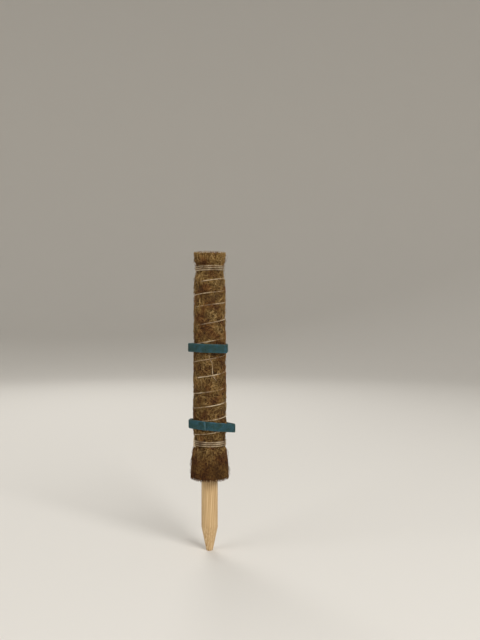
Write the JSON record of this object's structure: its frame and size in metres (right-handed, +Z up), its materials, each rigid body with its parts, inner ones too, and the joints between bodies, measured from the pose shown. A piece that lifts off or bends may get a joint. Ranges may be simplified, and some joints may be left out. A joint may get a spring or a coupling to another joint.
{
  "type": "moss pole",
  "caption": "Plant support pole: a pointed wooden stake rolled in coir felt and bound with wound thread, with flat plant ties that loop round the pole and the stems and slide along it.",
  "frame": {"origin": "on the pole's axis at the lower edge of the felt, which sits at the soil line", "axes": "+Z up along the pole; -Y is the front, towards the camera of the picture; +X is to that camera's right"},
  "size_m": [0.0635, 0.0525, 0.4],
  "materials": {
    "wood": "bare turned softwood",
    "coir": "loose coconut-fibre felt",
    "thread": "pale twisted thread",
    "strap": "woven hook-and-loop tape, dull teal"
  },
  "bodies": {
    "pole": {"wooden_core": "wood", "coir_felt": "coir", "winding_thread": "thread", "lower_knot": "thread", "upper_knot": "thread", "thread_tail": "thread"},
    "upper_tie_loop": {"upper_tie": "strap"},
    "lower_tie_loop": {"lower_tie": "strap"}
  },
  "joints": [
    {"name": "upper_tie_slide", "type": "slide", "parent": "pole", "child": "upper_tie_loop", "axis": [0, 0, 1], "range_m": [-0.035, 0.095]},
    {"name": "lower_tie_slide", "type": "slide", "parent": "pole", "child": "lower_tie_loop", "axis": [0, 0, 1], "range_m": [-0.008, 0.045]}
  ]
}
